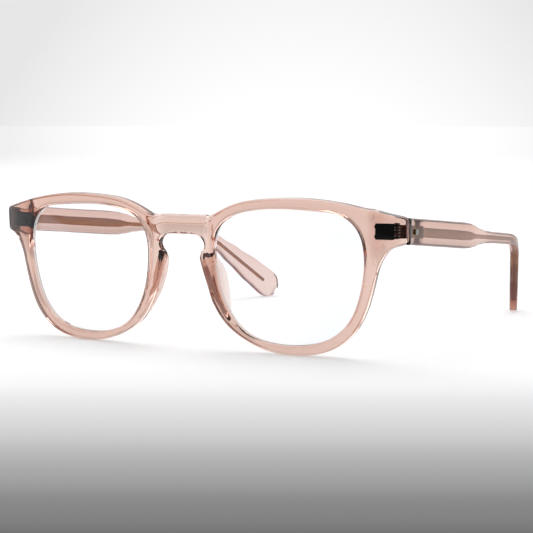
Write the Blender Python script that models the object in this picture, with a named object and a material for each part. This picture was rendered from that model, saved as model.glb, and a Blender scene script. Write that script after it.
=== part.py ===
"""Clear acetate spectacles with a keyhole bridge, plano lenses and folding temples.

Lengths below are millimetres and MM turns them into metres.  X runs across the face, with
the wearer's left at +X, Y runs from the front to the temple tips, and Z is up.  The glasses
stand open on their rims and temple tips, on the plane Z = 0.

The front is drawn flat, as heights v over widths u, and then bent around the face: a point
(u, v, w) lies w behind the front surface of a cylinder that leans forward at the top.
"""
import math

import bmesh
import bpy
import numpy as np
from mathutils import Matrix, Vector
from mathutils.geometry import delaunay_2d_cdt

MM = 0.001

# frame front
FRONT_SETBACK = 72.952      # from the middle of the glasses forward to the bridge
FRONT_LIFT = -0.142          # raises the flat drawing so that the rims just touch the floor
WRAP_RADIUS = 385.0         # how the front bends around the face
TILT = math.radians(3.3)    # how far the top of the front leans forward
RIM_DEPTH = 3.8             # thickness of the acetate sheet
EDGE_RADIUS = 0.7           # rounding of the polished edges
OUTLINE_STEP = 2.4          # longest chord of a drawn outline
FILL_STEP = 2.2             # spacing of the points inside a face

# bridge
BRIDGE_HALF = 8.2           # flat middle of the bridge
BRIDGE_FLANK = 10.8         # where the flank reaches the rim's surface again
BRIDGE_RECESS = 0.9         # the bridge lies this far behind the rims
BRIDGE_BREAK = 37.4         # height where its top starts to slope back
BRIDGE_SLOPE = 0.55

# end pieces and the plane of the joints
END_U = 70.5
SWEEP_START = 56.0          # the ends sweep back from here
SWEEP = 2.3
JOINT_Y = 9.5               # plane between an end piece and its temple
FIT_GAP = 0.3               # clearance between cemented or butting pieces
POCKET_Y = 8.3              # back of the end piece beside the hinge
BLOCK_X = 66.75             # the full-depth block of the end piece starts here
STEP_WIDTH = 0.3            # its step is this wide

# lenses
LENS_SEAT = 2.2             # depth of the groove behind the front surface
GROOVE_HALF = 0.7
GROOVE_DEPTH = 0.65
LENS_GAP = 0.3
LENS_THICKNESS = 1.8
LENS_BULGE = 1.1

# hinges
PIN_X = 65.1
PIN_Y = 10.0
HINGE_Z = 36.6              # middle height of the hinges
KNUCKLE_RADIUS = 1.0
KNUCKLE_HEIGHT = 0.68
KNUCKLE_GAP = 0.15
PIN_RADIUS = 0.45
BORE_RADIUS = 0.5
PIN_HEAD_RADIUS = 0.8
PIN_HEAD_HEIGHT = 0.45
PLATE_INNER_X = 59.8
PLATE_OUTER_X = 65.2
PLATE_HEIGHT = 4.6
PLATE_THICKNESS = 1.0
STUD_RADIUS = 0.6
STUD_LENGTH = 1.1
ROUND_SIDES = 20

# temples
TEMPLE_START = (68.3, JOINT_Y + FIT_GAP / 2, 36.6)
TEMPLE_BEND = (62.5, 111.8, 28.0)
TEMPLE_TIP = (49.2, 147.0, 2.073)
TEMPLE_THICKNESS = 3.6
BEND_LENGTH = 16.0          # length of the curved stretch at the ear
SLOT_LENGTH = 10.4          # the hinge leaf's slot
LEAF_HEIGHT = 3.4
LEAF_THICKNESS = 1.0
WIRE_GAP = 0.3
INLAY_AT = 3.9              # distance of the inlay's middle from the temple's front end
INLAY_LENGTH = 2.0
INLAY_HEIGHT = 1.6
INLAY_RECESS = 0.5          # depth of the inlay's recess
INLAY_PROUD = 0.05
WIRE_START = 11.4
WIRE_END = 141.0

# The right half of the front's outline, from the top of the bridge round to the keyhole.
OUTER_HALF = [
    (0, 39.9), (7.4, 39.95), (9.9, 39.9), (11.6, 40.6), (14.4, 42.0), (19.6, 44.0),
    (26.0, 45.1), (35.0, 45.6), (43.4, 45.4), (53.8, 44.0), (62.0, 42.1), (67.4, 40.8),
    (69.7, 40.2), (70.4, 39.6), (70.5, 38.6), (70.5, 34.6), (70.4, 33.3), (69.8, 32.7),
    (68.6, 32.3), (66.4, 31.5), (64.4, 29.6), (62.8, 26.8), (61.7, 23.2), (60.4, 18.4),
    (58.5, 13.0), (55.5, 7.8), (50.8, 3.5), (44.5, 0.9), (37.0, 0.0), (29.5, 0.7),
    (22.7, 3.0), (16.9, 6.5), (12.9, 10.7), (9.6, 16.7), (7.7, 21.8), (6.5, 25.8),
    (6.3, 28.3), (7.8, 30.9), (6.5, 33.5), (3.9, 34.3), (0, 34.35)]

# One lens opening, clockwise from the top.
LENS_OPENING = [
    (35.5, 42.4), (44.5, 41.9), (52.0, 40.6), (56.8, 36.1), (58.3, 29.8), (58.1, 24.5),
    (57.0, 18.8), (54.0, 11.3), (47.6, 5.4), (37.5, 2.9), (27.4, 3.7), (19.7, 7.25),
    (14.6, 14.2), (12.4, 20.6), (11.5, 27.5), (12.1, 34.0), (15.5, 38.8), (24.0, 41.8)]

# The ridge of a nose pad, as (u, v, w), from its top to its foot.
PAD_RIDGE = [
    (9.4, 28.6, 5.6), (9.7, 27.0, 6.9), (10.2, 25.2, 8.2), (11.2, 22.3, 9.1), (12.2, 18.4, 8.7),
    (13.2, 14.9, 7.8), (14.0, 12.4, 6.9), (15.4, 9.6, 5.6)]
PAD_BASE_WIDTH = 3.0
PAD_RIDGE_WIDTH = 1.3
PAD_SLICES = 10

# A temple's height at distances from its front end.
TEMPLE_HEIGHTS = [
    (0, 7.6), (30, 7.9), (46, 8.1), (52, 7.8), (56, 6.9), (62, 5.2), (68, 4.1), (77, 3.7),
    (98, 3.6), (106, 3.8), (114, 4.9), (123, 7.0), (134, 9.3), (142, 10.2), (149, 9.8)]
TEMPLE_DEPTHS = [(0, 3.6), (52, 3.6), (72, 3.0), (104, 3.0), (128, 2.9), (149, 2.7)]

# The core wire's height and thickness along the temple.
WIRE_HEIGHTS = [(11, 2.7), (46, 2.8), (52, 2.5), (58, 1.3), (104, 1.2), (141, 1.2)]
WIRE_DEPTHS = [(11, 1.1), (52, 1.1), (60, 1.2), (141, 1.2)]

ACETATE = ((0.72, 0.46, 0.38), 0.08, 0.0)
LENS = ((0.86, 0.90, 0.97), 0.03, 0.0)
DARK_METAL = ((0.06, 0.035, 0.03), 0.35, 1.0)
BRASS = ((0.42, 0.26, 0.13), 0.35, 1.0)
STEEL = ((0.45, 0.44, 0.42), 0.3, 1.0)


# ---------------------------------------------------------------- curves and the wrap

def smooth_loop(points, step):
    """A smooth closed curve through the points, with chords of about one step."""
    knots = np.array(points, float)
    count = len(knots)
    ahead = np.roll(knots, -1, 0)
    span = np.sqrt(np.linalg.norm(ahead - knots, axis=1))
    matrix = np.zeros((count, count))
    right = np.zeros((count, 2))
    for i in range(count):
        before = span[i - 1]
        after = span[i]
        matrix[i, i - 1] = after
        matrix[i, i] = 2 * (before + after)
        matrix[i, (i + 1) % count] = before
        right[i] = 3 * (after * (knots[i] - knots[i - 1]) / before
                        + before * (ahead[i] - knots[i]) / after)
    slope = np.linalg.solve(matrix, right)
    curve = []
    for i in range(count):
        j = (i + 1) % count
        pieces = max(1, round(np.linalg.norm(knots[j] - knots[i]) / step))
        for k in range(pieces):
            t = k / pieces
            curve.append(knots[i] * (2 * t ** 3 - 3 * t ** 2 + 1)
                         + slope[i] * span[i] * (t ** 3 - 2 * t ** 2 + t)
                         + knots[j] * (3 * t ** 2 - 2 * t ** 3)
                         + slope[j] * span[i] * (t ** 3 - t ** 2))
    return np.array(curve)


def outward_normals(loop, clockwise=True):
    """Unit normals that point away from the inside of a loop."""
    along = np.roll(loop, -1, 0) - np.roll(loop, 1, 0)
    along /= np.linalg.norm(along, axis=1)[:, None]
    side = np.stack([-along[:, 1], along[:, 0]], axis=1)
    return side if clockwise else -side


def ramp(value, low, high):
    """0 below low, 1 above high, and a smooth step between them."""
    t = min(1.0, max(0.0, (value - low) / (high - low)))
    return t * t * (3 - 2 * t)


def along_table(table, distance):
    """Reads a table of (distance, value) pairs, smoothed between its entries."""
    for (a, first), (b, second) in zip(table, table[1:]):
        if distance <= b:
            return first + (second - first) * ramp(distance, a, b)
    return table[-1][1]


def wrapped(u, v, w):
    """Bends a point of the flat front around the face, in world millimetres."""
    angle = u / WRAP_RADIUS
    x = (WRAP_RADIUS - w) * math.sin(angle)
    y = WRAP_RADIUS - (WRAP_RADIUS - w) * math.cos(angle)
    height = v + FRONT_LIFT
    return Vector((x,
                   y * math.cos(TILT) - height * math.sin(TILT) - FRONT_SETBACK,
                   y * math.sin(TILT) + height * math.cos(TILT)))


def depth_at(u, v, plane_y):
    """The w at which a point of the wrapped front reaches the plane Y = plane_y."""
    height = v + FRONT_LIFT
    reach = (plane_y + height * math.sin(TILT)) / math.cos(TILT)
    return WRAP_RADIUS - (WRAP_RADIUS - reach) / math.cos(u / WRAP_RADIUS)


def front_surface(u, v):
    """Depth of the front's outer surface: the recessed bridge and the swept ends."""
    side = abs(u)
    middle = 1 - ramp(side, BRIDGE_HALF, BRIDGE_FLANK)
    recess = middle * (BRIDGE_RECESS + BRIDGE_SLOPE * max(0.0, v - BRIDGE_BREAK))
    sweep = SWEEP * (max(0.0, side - SWEEP_START) / (END_U - SWEEP_START)) ** 2
    return recess + sweep


def back_surface(u, v):
    """Depth of the front's back: flat rims, and end pieces that reach the joints."""
    side = abs(u)
    depth = RIM_DEPTH
    end = ramp(side, 59.2, 61.0) * ramp(v, 29.4, 31.4)
    depth += (depth_at(side, v, POCKET_Y) - depth) * end
    block_u = WRAP_RADIUS * math.asin(BLOCK_X / WRAP_RADIUS) + 1.0
    block = ramp(side, block_u - STEP_WIDTH, block_u + STEP_WIDTH)
    depth += (depth_at(side, v, JOINT_Y - FIT_GAP / 2) - depth) * block
    return depth


# ---------------------------------------------------------------- mesh helpers

def new_object(name, vertices, faces, finish, smooth=True):
    """Makes a mesh object from millimetre points, with its faces turned outwards."""
    mesh = bpy.data.meshes.new(name)
    mesh.from_pydata([tuple(Vector(point) * MM) for point in vertices], [], faces)
    build = bmesh.new()
    build.from_mesh(mesh)
    bmesh.ops.recalc_face_normals(build, faces=build.faces)
    build.to_mesh(mesh)
    build.free()
    item = bpy.data.objects.new(name, mesh)
    bpy.context.scene.collection.objects.link(item)
    if finish:
        mesh.materials.append(finish)
    if smooth:
        mesh.shade_smooth()
        mesh.set_sharp_from_angle(angle=math.radians(35))
    return item


def material(name, look):
    """A Principled material from a colour, a roughness and a metallic value."""
    colour, roughness, metallic = look
    finish = bpy.data.materials.new(name)
    finish.use_nodes = True
    shader = finish.node_tree.nodes["Principled BSDF"]
    shader.inputs["Base Color"].default_value = (*colour, 1.0)
    shader.inputs["Roughness"].default_value = roughness
    shader.inputs["Metallic"].default_value = metallic
    finish.diffuse_color = (*colour, 1.0)
    return finish


def box(name, low, high, finish=None):
    """A plain box between two corners."""
    corners = [(x, y, z) for x in (low[0], high[0]) for y in (low[1], high[1])
               for z in (low[2], high[2])]
    faces = [(0, 1, 3, 2), (4, 6, 7, 5), (0, 4, 5, 1), (2, 3, 7, 6), (0, 2, 6, 4), (1, 5, 7, 3)]
    return new_object(name, corners, faces, finish, smooth=False)


def round_bar(name, centre, axis, radius, length, finish=None):
    """A cylinder that starts at centre and runs along the axis."""
    direction = Vector(axis).normalized()
    turn = direction.to_track_quat("Z", "Y")
    vertices = []
    for level in (0.0, length):
        for i in range(ROUND_SIDES):
            angle = 2 * math.pi * i / ROUND_SIDES
            rim = Vector((radius * math.cos(angle), radius * math.sin(angle), level))
            vertices.append(Vector(centre) + turn @ rim)
    faces = [tuple(range(ROUND_SIDES)), tuple(range(ROUND_SIDES, 2 * ROUND_SIDES))]
    for i in range(ROUND_SIDES):
        j = (i + 1) % ROUND_SIDES
        faces.append((i, j, j + ROUND_SIDES, i + ROUND_SIDES))
    return new_object(name, vertices, faces, finish)


def combined(base, tool, operation):
    """Applies one exact Boolean to the base object and removes the tool."""
    change = base.modifiers.new(operation, "BOOLEAN")
    change.operation = operation
    change.solver = "EXACT"
    change.object = tool
    graph = bpy.context.evaluated_depsgraph_get()
    result = bpy.data.meshes.new_from_object(base.evaluated_get(graph))
    base.modifiers.clear()
    old = base.data
    base.data = result
    bpy.data.meshes.remove(old)
    bpy.data.objects.remove(tool)
    base.data.shade_smooth()
    base.data.set_sharp_from_angle(angle=math.radians(35))
    return base


def ring_faces(first, second, count):
    """Quads between two rings of vertices, given by their first indices."""
    return [(first + i, first + (i + 1) % count, second + (i + 1) % count, second + i)
            for i in range(count)]


def loft(name, sections, finish):
    """A closed solid through rings of equal length, with flat ends."""
    count = len(sections[0])
    vertices = [point for section in sections for point in section]
    faces = [tuple(range(count))]
    faces.append(tuple(range(len(vertices) - count, len(vertices))))
    for level in range(len(sections) - 1):
        faces += ring_faces(level * count, (level + 1) * count, count)
    return new_object(name, vertices, faces, finish)


# ---------------------------------------------------------------- the frame front

def inside(point, loop):
    """True where a flat point lies within a closed loop."""
    x, y = point
    ahead = np.roll(loop, -1, 0)
    crosses = (loop[:, 1] > y) != (ahead[:, 1] > y)
    rise = np.where(crosses, ahead[:, 1] - loop[:, 1], 1.0)
    meets = loop[:, 0] + (y - loop[:, 1]) / rise * (ahead[:, 0] - loop[:, 0])
    return bool(np.count_nonzero(crosses & (meets > x)) % 2)


def mirrored_loop(half):
    """Closes a half outline with its mirror image across u = 0."""
    return half + [(-u, v) for u, v in half[-2:0:-1]]


def fill_points(outer, openings):
    """Points on a grid inside the sheet, away from its edges."""
    points = []
    for u in np.arange(0, END_U, FILL_STEP):
        for v in np.arange(FILL_STEP / 2, 47, FILL_STEP):
            near = min(np.min(np.linalg.norm(loop - (u, v), axis=1)) for loop in (outer, *openings))
            if near < 0.55 * FILL_STEP or not inside((u, v), outer):
                continue
            if any(inside((u, v), loop) for loop in openings):
                continue
            points.append((u, v))
            if u > 0:
                points.append((-u, v))
    return points


def sheet_faces(loops, extra):
    """Triangles of the sheet between its outer loop and its two openings."""
    points = [Vector(p) for loop in loops for p in loop] + [Vector(p) for p in extra]
    edges = []
    start = 0
    for loop in loops:
        edges += [(start + i, start + (i + 1) % len(loop)) for i in range(len(loop))]
        start += len(loop)
    _, _, faces, _, _, _ = delaunay_2d_cdt(points, edges, [], 0, 1e-6)
    kept = []
    for face in faces:
        middle = sum((points[i] for i in face), Vector((0, 0))) / 3
        if not inside(middle, loops[0]):
            continue
        if not any(inside(middle, loop) for loop in loops[1:]):
            kept.append(tuple(face))
    return kept


def edge_profile():
    """The rounded edge as (distance from the wall, depth below the face) pairs."""
    steps = (0, 30, 60, 90)
    return [(-EDGE_RADIUS * (1 - math.sin(math.radians(a))),
             EDGE_RADIUS * (1 - math.cos(math.radians(a)))) for a in steps]


def make_front(finish):
    """One sheet of acetate with two grooved lens openings, a bridge and two end pieces."""
    outer = smooth_loop(mirrored_loop(OUTER_HALF), OUTLINE_STEP)
    opening = smooth_loop(LENS_OPENING, OUTLINE_STEP)
    mirror = (opening * (-1, 1))[::-1]
    loops = [outer, opening, mirror]
    normals = [outward_normals(outer), -outward_normals(opening), -outward_normals(mirror)]
    extra = fill_points(outer, loops[1:])
    profile = edge_profile()
    groove = [(0, LENS_SEAT - GROOVE_HALF), (GROOVE_DEPTH, LENS_SEAT), (0, LENS_SEAT + GROOVE_HALF)]
    vertices = []
    rings = []

    def add_ring(loop, out, offset, depth_of):
        rings.append((len(vertices), len(loop)))
        for (u, v), n in zip(loop, out):
            point = np.array((u, v)) + n * offset
            vertices.append(wrapped(point[0], point[1], depth_of(u, v)))

    faces = []
    caps = {"front": [], "back": []}
    for number, (loop, out) in enumerate(zip(loops, normals)):
        first = len(rings)
        for offset, drop in profile:
            add_ring(loop, out, offset, lambda u, v, d=drop: front_surface(u, v) + d)
        if number > 0:
            for offset, depth in groove:
                add_ring(loop, out, -offset, lambda u, v, d=depth: d + sweep_only(u, v))
        for offset, drop in reversed(profile):
            add_ring(loop, out, offset, lambda u, v, d=drop: back_surface(u, v) - d)
        caps["front"].append(rings[first][0])
        caps["back"].append(rings[-1][0])
        for (a, count), (b, _) in zip(rings[first:-1], rings[first + 1:]):
            faces += ring_faces(a, b, count)
    for side, surface in (("front", front_surface), ("back", back_surface)):
        inset = [loop + out * -EDGE_RADIUS for loop, out in zip(loops, normals)]
        index = []
        for start, loop in zip(caps[side], inset):
            index += range(start, start + len(loop))
        for u, v in extra:
            index.append(len(vertices))
            vertices.append(wrapped(u, v, surface(u, v)))
        faces += [tuple(index[i] for i in face) for face in sheet_faces(inset, extra)]
    return new_object("front", vertices, faces, finish)


def sweep_only(u, v):
    """How far the swept end moves the lens groove back."""
    return front_surface(u, v) if abs(u) > SWEEP_START else 0.0


def cut_hinge_pocket(front, side):
    """Sinks the pocket for one front hinge half into the back of the end piece."""
    half = PLATE_HEIGHT / 2 + FIT_GAP
    low_x = PLATE_INNER_X - FIT_GAP
    high_x = PLATE_OUTER_X + FIT_GAP
    front_y = POCKET_Y - PLATE_THICKNESS - FIT_GAP - FRONT_SETBACK
    pocket = box("pocket", (min(side * low_x, side * high_x), front_y, HINGE_Z - half),
                 (max(side * low_x, side * high_x), POCKET_Y + 2 - FRONT_SETBACK, HINGE_Z + half))
    combined(front, pocket, "DIFFERENCE")
    for level in (-1, 1):
        hole = round_bar("stud_hole", stud_place(side, level) + Vector((0, 0.5, 0)), (0, -1, 0),
                         STUD_RADIUS + FIT_GAP, STUD_LENGTH + FIT_GAP + 0.7)
        combined(front, hole, "DIFFERENCE")


# ---------------------------------------------------------------- lenses and nose pads

def make_lens(name, side, finish):
    """A plano lens with a bevelled edge that sits in the rim's groove."""
    opening = smooth_loop(LENS_OPENING, OUTLINE_STEP)
    out = outward_normals(opening)
    centre = opening.mean(axis=0)
    half = LENS_THICKNESS / 2
    rim = opening - out * LENS_GAP
    apex = opening + out * (GROOVE_DEPTH - LENS_GAP - 0.05)
    vertices = []

    def add_ring(points, depth):
        for u, v in points:
            vertices.append(wrapped(side * u, v, depth + sweep_only(u, v)))

    shares = (0.0, 0.3, 0.6, 0.85, 1.0)
    for share in shares[1:]:
        lift = LENS_BULGE * (1 - share ** 2)
        add_ring(centre + (rim - centre) * share, LENS_SEAT - half - lift)
    add_ring(rim, LENS_SEAT - GROOVE_HALF / 2)
    add_ring(apex, LENS_SEAT)
    add_ring(rim, LENS_SEAT + GROOVE_HALF / 2)
    for share in reversed(shares[1:]):
        lift = LENS_BULGE * (1 - share ** 2)
        add_ring(centre + (rim - centre) * share, LENS_SEAT + half - lift)
    count = len(opening)
    levels = len(vertices) // count
    faces = []
    for level in range(levels - 1):
        faces += ring_faces(level * count, (level + 1) * count, count)
    for ring, depth in ((0, LENS_SEAT - half), (levels - 1, LENS_SEAT + half)):
        hub = len(vertices)
        vertices.append(wrapped(side * centre[0], centre[1], depth - LENS_BULGE))
        faces += [(ring * count + i, ring * count + (i + 1) % count, hub) for i in range(count)]
    return new_object(name, vertices, faces, finish)


def nasal_edge(v):
    """Where the front's edge beside the nose lies, at one height."""
    points = [p for p in OUTER_HALF if p[0] > 6 and p[1] < 29 and p[0] < 24]
    points.sort(key=lambda p: p[1])
    heights = [p[1] for p in points]
    return float(np.interp(v, heights, [p[0] for p in points]))


def make_nose_pad(name, side, finish):
    """A built-up pad: a fin behind the rim that flares outwards and back."""
    ridge = np.array(PAD_RIDGE)
    heights = ridge[::-1, 1]
    base = RIM_DEPTH + FIT_GAP
    sections = []
    for i in range(PAD_SLICES + 1):
        v = ridge[0, 1] + (ridge[-1, 1] - ridge[0, 1]) * i / PAD_SLICES
        tip_u = float(np.interp(v, heights, ridge[::-1, 0]))
        tip_w = float(np.interp(v, heights, ridge[::-1, 2]))
        inner = nasal_edge(v) + 0.4
        wide = PAD_BASE_WIDTH
        blunt = PAD_RIDGE_WIDTH / 2
        outline = [(inner, base), (inner + 0.1, base + 0.5),
                   (inner * 0.45 + (tip_u - blunt) * 0.55 - 0.15, base * 0.45 + tip_w * 0.55),
                   (tip_u - blunt, tip_w - 0.5), (tip_u, tip_w), (tip_u + blunt, tip_w - 0.6),
                   ((inner + wide + tip_u + blunt) / 2, (base + tip_w) / 2),
                   (inner + wide, base)]
        sections.append([wrapped(side * u, v, w) for u, w in outline])
    return loft(name, sections, finish)


# ---------------------------------------------------------------- hinges

def hinge_point(side, x, y, z=0.0):
    """A world point of a hinge, from its place on the wearer's left side."""
    return Vector((side * x, y - FRONT_SETBACK, HINGE_Z + z))


def hinge_box(side, name, low, high, finish=None):
    """A box of a hinge, from two corners on the wearer's left side."""
    a = hinge_point(side, *low)
    b = hinge_point(side, *high)
    return box(name, tuple(map(min, a, b)), tuple(map(max, a, b)), finish)


def stud_place(side, level):
    """The back end of one anchor stud, at the plate's front face."""
    inset = STUD_RADIUS + 0.35
    return hinge_point(side, PLATE_INNER_X + inset, POCKET_Y - PLATE_THICKNESS - 0.05,
                       level * (PLATE_HEIGHT / 2 - inset))


def knuckle_levels():
    """The bottom heights of the five knuckles, relative to the hinge's middle."""
    pitch = KNUCKLE_HEIGHT + KNUCKLE_GAP
    total = 5 * KNUCKLE_HEIGHT + 4 * KNUCKLE_GAP
    return [i * pitch - total / 2 for i in range(5)]


def add_knuckle(base, side, bottom, arm_low, arm_high):
    """Adds one knuckle and the arm that carries it, and leaves its bore for later."""
    top = bottom + KNUCKLE_HEIGHT
    arm = hinge_box(side, "arm", (*arm_low, bottom), (*arm_high, top))
    combined(base, arm, "UNION")
    barrel = round_bar("barrel", hinge_point(side, PIN_X, PIN_Y, bottom), (0, 0, 1),
                       KNUCKLE_RADIUS, KNUCKLE_HEIGHT)
    return combined(base, barrel, "UNION")


def bore(base, side):
    """Drills the pin hole through all of a leaf's knuckles."""
    drill = round_bar("drill", hinge_point(side, PIN_X, PIN_Y, -4), (0, 0, 1), BORE_RADIUS, 8)
    return combined(base, drill, "DIFFERENCE")


def make_front_hinge(name, side, finish):
    """The front half: a sunk plate with three knuckles."""
    back = POCKET_Y
    plate = hinge_box(side, name, (PLATE_INNER_X, back - PLATE_THICKNESS, -PLATE_HEIGHT / 2),
                      (PLATE_OUTER_X, back, PLATE_HEIGHT / 2), finish)
    for bottom in knuckle_levels()[0::2]:
        add_knuckle(plate, side, bottom, (PIN_X - KNUCKLE_RADIUS, back - 0.3),
                    (PLATE_OUTER_X - 0.2, PIN_Y))
    return bore(plate, side)


def make_temple_hinge(name, side, finish):
    """The temple half: two knuckles, and a leaf that lies in the temple's slot."""
    axis = temple_axis(side)
    start = Vector((side * TEMPLE_START[0], TEMPLE_START[1] - FRONT_SETBACK, TEMPLE_START[2]))
    across, up = temple_sides(side, axis)
    corners = []
    for along in (0.35, SLOT_LENGTH - WIRE_GAP - 0.2):
        for x, z in ((-1, -1), (1, -1), (1, 1), (-1, 1)):
            corners.append(start + axis * along + across * (x * LEAF_THICKNESS / 2)
                           + up * (z * LEAF_HEIGHT / 2))
    faces = [(0, 1, 2, 3), (4, 5, 6, 7)] + ring_faces(0, 4, 4)
    leaf = new_object(name, corners, faces, finish, smooth=False)
    for bottom in knuckle_levels()[1::2]:
        add_knuckle(leaf, side, bottom, (PIN_X, PIN_Y + 0.05), (TEMPLE_START[0], PIN_Y + 0.9))
    return bore(leaf, side)


def make_screw(name, side, finish):
    """The hinge screw: a shank with a slotted head."""
    low = knuckle_levels()[0]
    high = knuckle_levels()[-1] + KNUCKLE_HEIGHT
    screw = round_bar(name, hinge_point(side, PIN_X, PIN_Y, low - 0.1), (0, 0, 1), PIN_RADIUS,
                      high - low + 0.3, finish)
    head = round_bar("head", hinge_point(side, PIN_X, PIN_Y, high + 0.05), (0, 0, 1),
                     PIN_HEAD_RADIUS, PIN_HEAD_HEIGHT)
    combined(screw, head, "UNION")
    top = high + 0.05 + PIN_HEAD_HEIGHT
    slot = hinge_box(side, "slot", (PIN_X - 0.1, PIN_Y - 2, top - 0.2),
                     (PIN_X + 0.1, PIN_Y + 2, top + 1))
    return combined(screw, slot, "DIFFERENCE")


def make_stud(name, side, level, finish):
    """One round anchor stud in front of the hinge plate."""
    return round_bar(name, stud_place(side, level) - Vector((0, 0.25, 0)), (0, -1, 0),
                     STUD_RADIUS, STUD_LENGTH, finish)


# ---------------------------------------------------------------- temples

def temple_points(side):
    """Start, bend and tip of a temple's middle line, in world millimetres."""
    return [Vector((side * x, y - FRONT_SETBACK, z))
            for x, y, z in (TEMPLE_START, TEMPLE_BEND, TEMPLE_TIP)]


def temple_axis(side):
    """The direction of the straight part of a temple."""
    start, bend, _ = temple_points(side)
    return (bend - start).normalized()


def temple_sides(side, axis):
    """Unit vectors across a temple, outwards, and up."""
    across = Vector((axis.y, -axis.x, 0)).normalized() * side
    return across, (across.cross(axis) * side).normalized()


def temple_frame(side, distance):
    """Point and direction of the middle line at a distance from the front end."""
    start, bend, tip = temple_points(side)
    straight = (bend - start).length - BEND_LENGTH / 2
    first = (bend - start).normalized()
    second = (tip - bend).normalized()
    if distance <= straight:
        return start + first * distance, first
    t = min(1.0, (distance - straight) / BEND_LENGTH)
    a = bend - first * BEND_LENGTH / 2
    b = bend + second * BEND_LENGTH / 2
    point = a * (1 - t) ** 2 + bend * 2 * t * (1 - t) + b * t ** 2
    direction = ((bend - a) * (1 - t) + (b - bend) * t).normalized()
    return point + second * max(0.0, distance - straight - BEND_LENGTH), direction


def temple_section(side, distance, height, depth, corner, steps=2):
    """A rounded rectangle across the temple."""
    point, axis = temple_frame(side, distance)
    across, up = temple_sides(side, axis)
    ring = []
    for quarter, (x, z) in enumerate(((1, 1), (-1, 1), (-1, -1), (1, -1))):
        for i in range(steps + 1):
            angle = math.pi / 2 * (quarter + i / steps)
            ring.append(point + across * (x * (depth / 2 - corner) + corner * math.cos(angle))
                        + up * (z * (height / 2 - corner) + corner * math.sin(angle)))
    return ring


def temple_length(side):
    """The length of the middle line."""
    start, bend, tip = temple_points(side)
    return (bend - start).length + (tip - bend).length


def outer_section(side, distance):
    """The temple's outside at one distance, with a rounded tip."""
    length = temple_length(side)
    height = along_table(TEMPLE_HEIGHTS, distance)
    round_off = height / 2 + 0.2
    left = length - distance
    if left < round_off:
        height *= math.sqrt(max(0.02, 1 - (1 - left / round_off) ** 2))
    depth = along_table(TEMPLE_DEPTHS, distance)
    if left < 1.2:
        depth *= 0.55 + 0.45 * left / 1.2
    return temple_section(side, distance, height, depth, min(1.0, height * 0.3, depth * 0.3))


def channel_section(side, distance):
    """The slot and the wire's channel inside the temple."""
    if distance <= SLOT_LENGTH:
        height = LEAF_HEIGHT + 2 * WIRE_GAP
        depth = LEAF_THICKNESS + 2 * WIRE_GAP
    else:
        height = along_table(WIRE_HEIGHTS, distance) + 2 * WIRE_GAP
        depth = along_table(WIRE_DEPTHS, distance) + 2 * WIRE_GAP
    return temple_section(side, distance, height, depth, 0.3)


def make_temple(name, side, finish):
    """A temple with the wire's channel, open at the hinge."""
    length = temple_length(side)
    stations = [0, 2, 20, 38, 46, 50, 53, 56, 59, 62, 65, 69, 77, 92, 96, 99, 102, 105, 108, 111]
    stations += [115, 120, 125, 130, 135, 140, length - 5.5, length - 4.0, length - 2.7, length - 1.6,
                 length - 0.8, length - 0.3, length]
    outside = [outer_section(side, d) for d in stations]
    depths = [0, SLOT_LENGTH, SLOT_LENGTH + 0.4, 30, 46, 52, 55, 58, 75, 92, 96, 99, 102, 105,
              108, 111, 125, WIRE_END + WIRE_GAP]
    channel = [channel_section(side, d) for d in depths]
    axis = temple_axis(side)
    face_y = JOINT_Y + FIT_GAP / 2 - FRONT_SETBACK
    for ring in (outside[0], channel[0]):
        for i, point in enumerate(ring):
            ring[i] = point + axis * ((face_y - point.y) / axis.y)
    count = len(outside[0])
    vertices = [point for ring in outside + channel for point in ring]
    faces = []
    for level in range(len(outside) - 1):
        faces += ring_faces(level * count, (level + 1) * count, count)
    faces.append(tuple(range((len(outside) - 1) * count, len(outside) * count)))
    inner = len(outside) * count
    for level in range(len(channel) - 1):
        faces += ring_faces(inner + level * count, inner + (level + 1) * count, count)
    faces.append(tuple(range(len(vertices) - count, len(vertices))))
    faces += ring_faces(0, inner, count)
    temple = new_object(name, vertices, faces, finish)
    notch = hinge_box(side, "notch", (TEMPLE_START[0] - TEMPLE_THICKNESS / 2 - 1, JOINT_Y - 1, -2.35),
                      (TEMPLE_START[0] + 0.2, PIN_Y + 1.35, 2.35))
    combined(temple, notch, "DIFFERENCE")
    recess = plaque("recess", side, -INLAY_RECESS, 1.0, INLAY_LENGTH / 2 + FIT_GAP,
                    INLAY_HEIGHT / 2 + FIT_GAP)
    return combined(temple, recess, "DIFFERENCE")


def make_core_wire(name, side, finish):
    """The brass core wire: a flat spade in front that tapers to a thin wire."""
    stations = [WIRE_START, 30, 46, 52, 55, 58, 75, 92, 96, 99, 102, 105, 108, 111, 125, WIRE_END]
    sections = []
    for d in stations:
        height = along_table(WIRE_HEIGHTS, d)
        depth = along_table(WIRE_DEPTHS, d)
        sections.append(temple_section(side, d, height, depth, 0.3))
    return loft(name, sections, finish)


def plaque(name, side, low, high, half_length, half_height, finish=None):
    """A flat block on the temple's outer face, between two heights over that face."""
    axis = temple_axis(side)
    across, up = temple_sides(side, axis)
    base = temple_points(side)[0] + across * (TEMPLE_THICKNESS / 2) + axis * INLAY_AT
    corners = []
    for lift in (low, high):
        for x, z in ((-1, -1), (1, -1), (1, 1), (-1, 1)):
            corners.append(base + across * lift + axis * (x * half_length) + up * (z * half_height))
    faces = [(0, 1, 2, 3), (4, 5, 6, 7)] + ring_faces(0, 4, 4)
    return new_object(name, corners, faces, finish, smooth=False)


def make_inlay(name, side, finish):
    """A small plain metal inlay that fills the recess in the temple's outer face."""
    low = FIT_GAP - INLAY_RECESS
    return plaque(name, side, low, INLAY_PROUD, INLAY_LENGTH / 2, INLAY_HEIGHT / 2, finish)


# ---------------------------------------------------------------- assembly

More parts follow.
